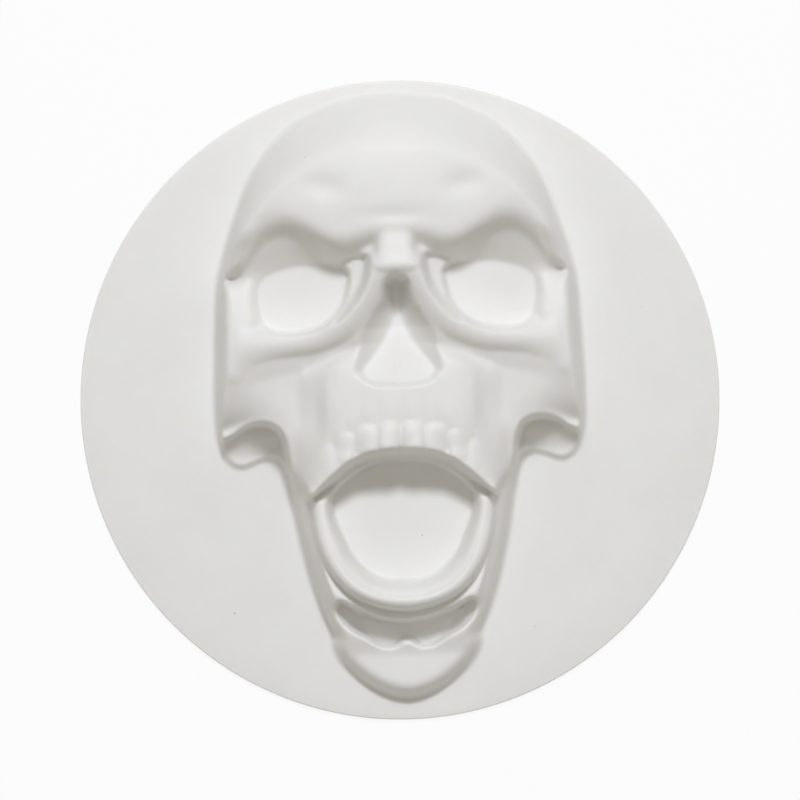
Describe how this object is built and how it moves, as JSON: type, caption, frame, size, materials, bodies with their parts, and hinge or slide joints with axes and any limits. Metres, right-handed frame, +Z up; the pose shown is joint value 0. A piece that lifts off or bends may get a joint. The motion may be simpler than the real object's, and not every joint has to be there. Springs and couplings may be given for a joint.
{
  "type": "skull cake mould",
  "caption": "One-piece white silicone cake mould: a thin pressed shell in the relief of a shouting skull, open underneath, on a flat round flange.",
  "frame": {"origin": "centre of the round flange, on the plane it stands on", "axes": "+Z up out of the worktop, along the relief; +Y towards the skull's crown; +X to the skull's left, the viewer's right"},
  "size_m": [0.23, 0.23, 0.0535],
  "materials": {
    "silicone": "matte white silicone"
  },
  "bodies": {
    "root": {"rim_flange": "silicone", "cranium_shell": "silicone", "face_shell": "silicone", "right_cheek_shell": "silicone", "left_cheek_shell": "silicone", "jaw_shell": "silicone", "chin_shell": "silicone"}
  },
  "joints": []
}
